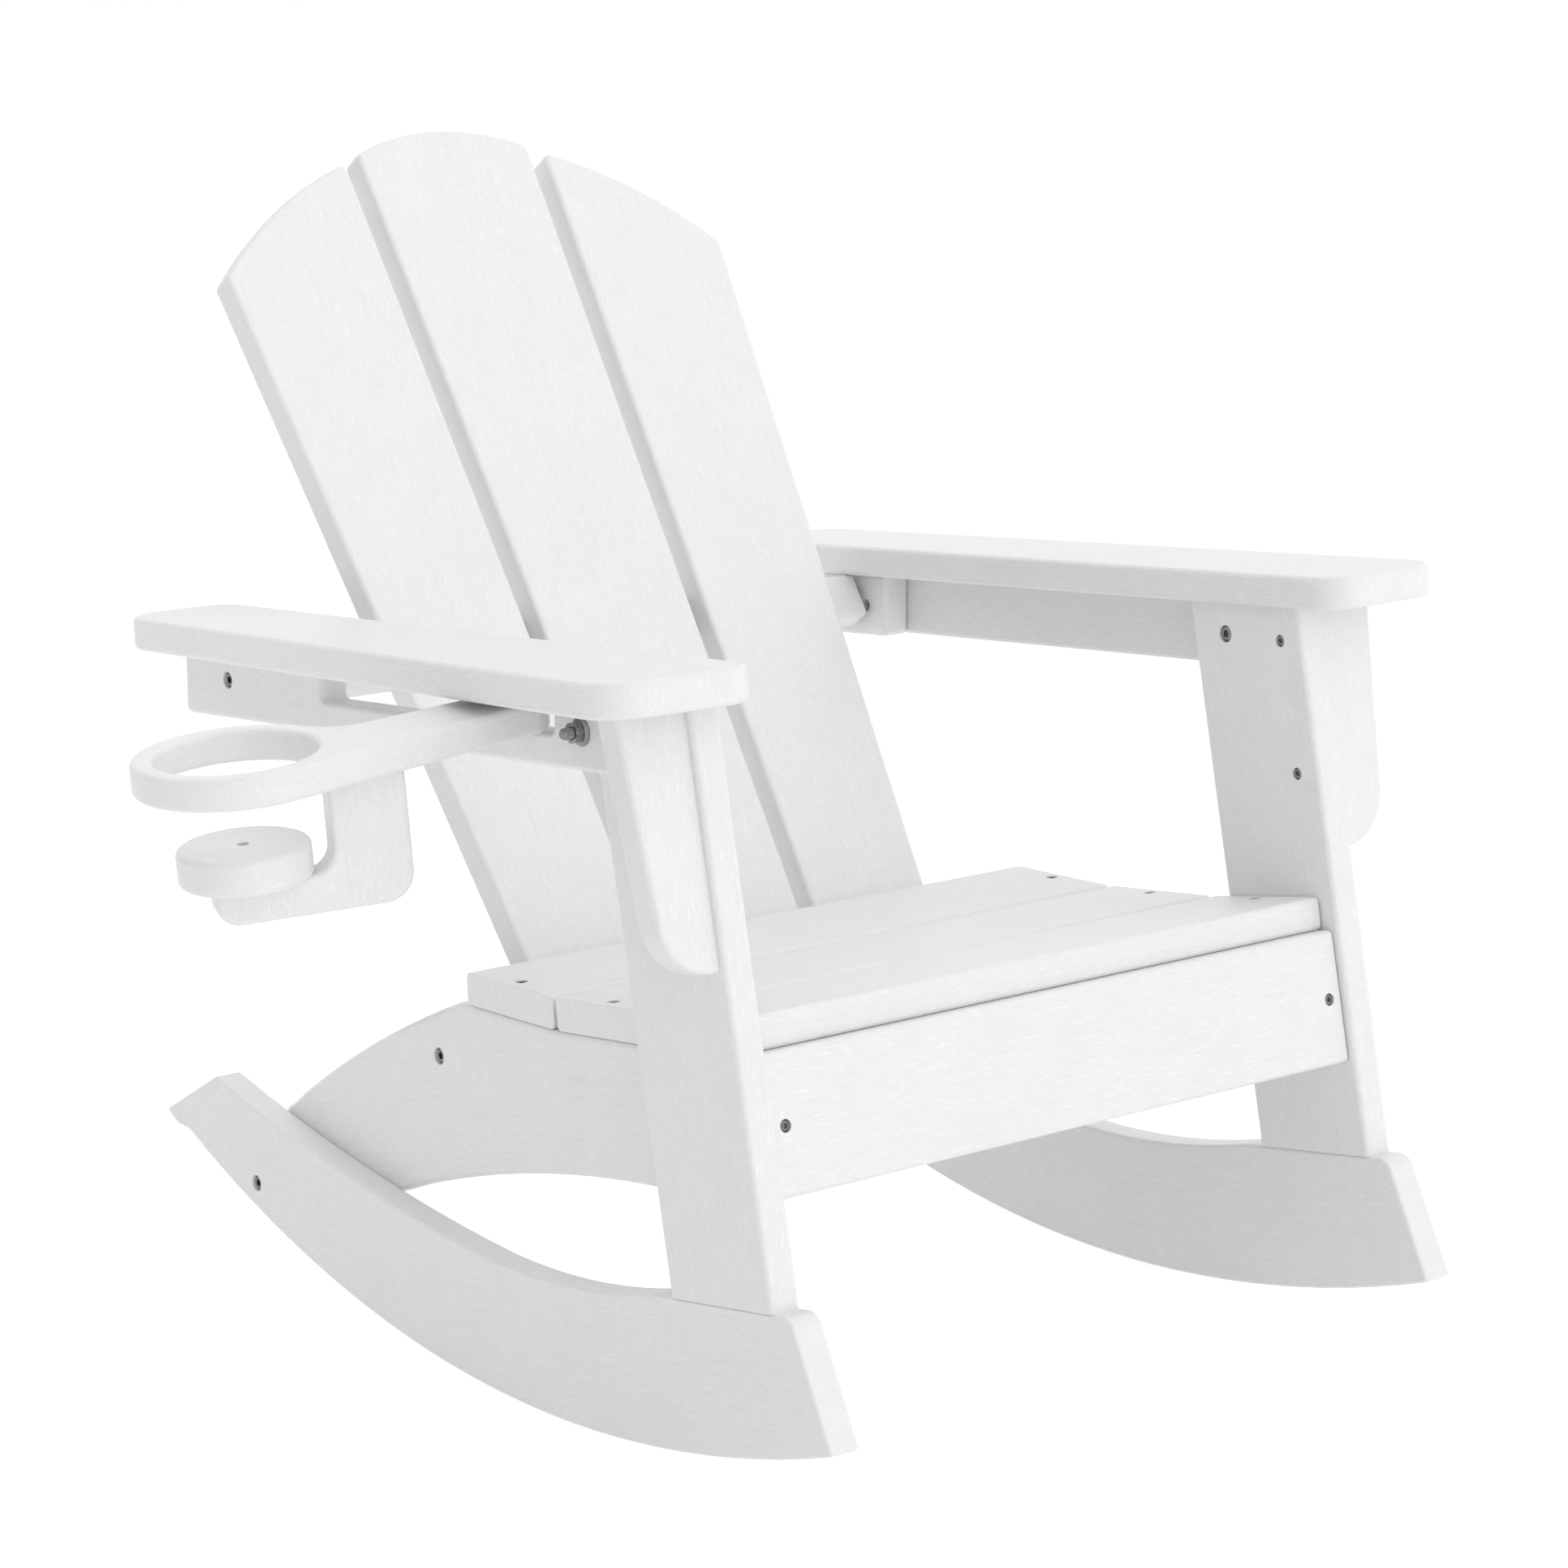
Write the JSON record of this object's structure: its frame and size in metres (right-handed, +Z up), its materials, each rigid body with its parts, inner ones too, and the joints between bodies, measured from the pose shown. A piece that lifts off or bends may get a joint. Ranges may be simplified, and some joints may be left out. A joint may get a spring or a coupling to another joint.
{
  "type": "rocking adirondack chair",
  "caption": "Child's rocking Adirondack chair in white plastic lumber, with a fanned slat back, broad arms and a cup holder that swings in under one arm.",
  "frame": {"origin": "on the floor, under the middle of the whole box with the cup holder out", "axes": "+X across the chair, away from the cup holder; +Y from the front to the back; +Z up"},
  "size_m": [0.715, 0.6612, 0.6357],
  "materials": {
    "white_lumber": "brushed matt white plastic lumber",
    "stainless": "stainless steel hardware"
  },
  "bodies": {
    "chair": {"apron_screws": "stainless", "arm_block_left": "white_lumber", "arm_block_right": "white_lumber", "arm_corbel_left": "white_lumber", "arm_corbel_right": "white_lumber", "arm_left": "white_lumber", "arm_rail_left": "white_lumber", "arm_rail_right": "white_lumber", "arm_right": "white_lumber", "arm_screws": "stainless", "back_brace_lower": "white_lumber", "back_brace_upper": "white_lumber", "back_screws": "stainless", "back_slat_centre": "white_lumber", "back_slat_left": "white_lumber", "back_slat_right": "white_lumber", "block_screws": "stainless", "brace_pins": "stainless", "corbel_screws": "stainless", "front_apron": "white_lumber", "front_leg_left": "white_lumber", "front_leg_right": "white_lumber", "leg_bolt_nuts": "stainless", "leg_bolts": "stainless", "leg_dowels": "stainless", "pivot_bolt": "stainless", "pivot_spacer": "stainless", "rear_rail_bolts": "stainless", "rocker_bolts": "stainless", "rocker_left": "white_lumber", "rocker_right": "white_lumber", "seat_screws": "stainless", "seat_slat_front": "white_lumber", "seat_slat_middle": "white_lumber", "seat_slat_rear": "white_lumber", "seat_stringer_left": "white_lumber", "seat_stringer_right": "white_lumber", "stringer_bolts": "stainless", "stringer_screws": "stainless"},
    "cup_holder": {"cup_ring": "white_lumber", "cup_bracket": "white_lumber", "cup_base": "white_lumber", "cup_base_screw": "stainless", "cup_bracket_pins": "stainless"}
  },
  "joints": [
    {"name": "cup_holder_swing", "type": "hinge", "parent": "chair", "child": "cup_holder", "pos_m": [-0.1638, -0.11086, 0.39117], "axis": [0, 0, 1], "range_deg": [-85, 0]}
  ]
}
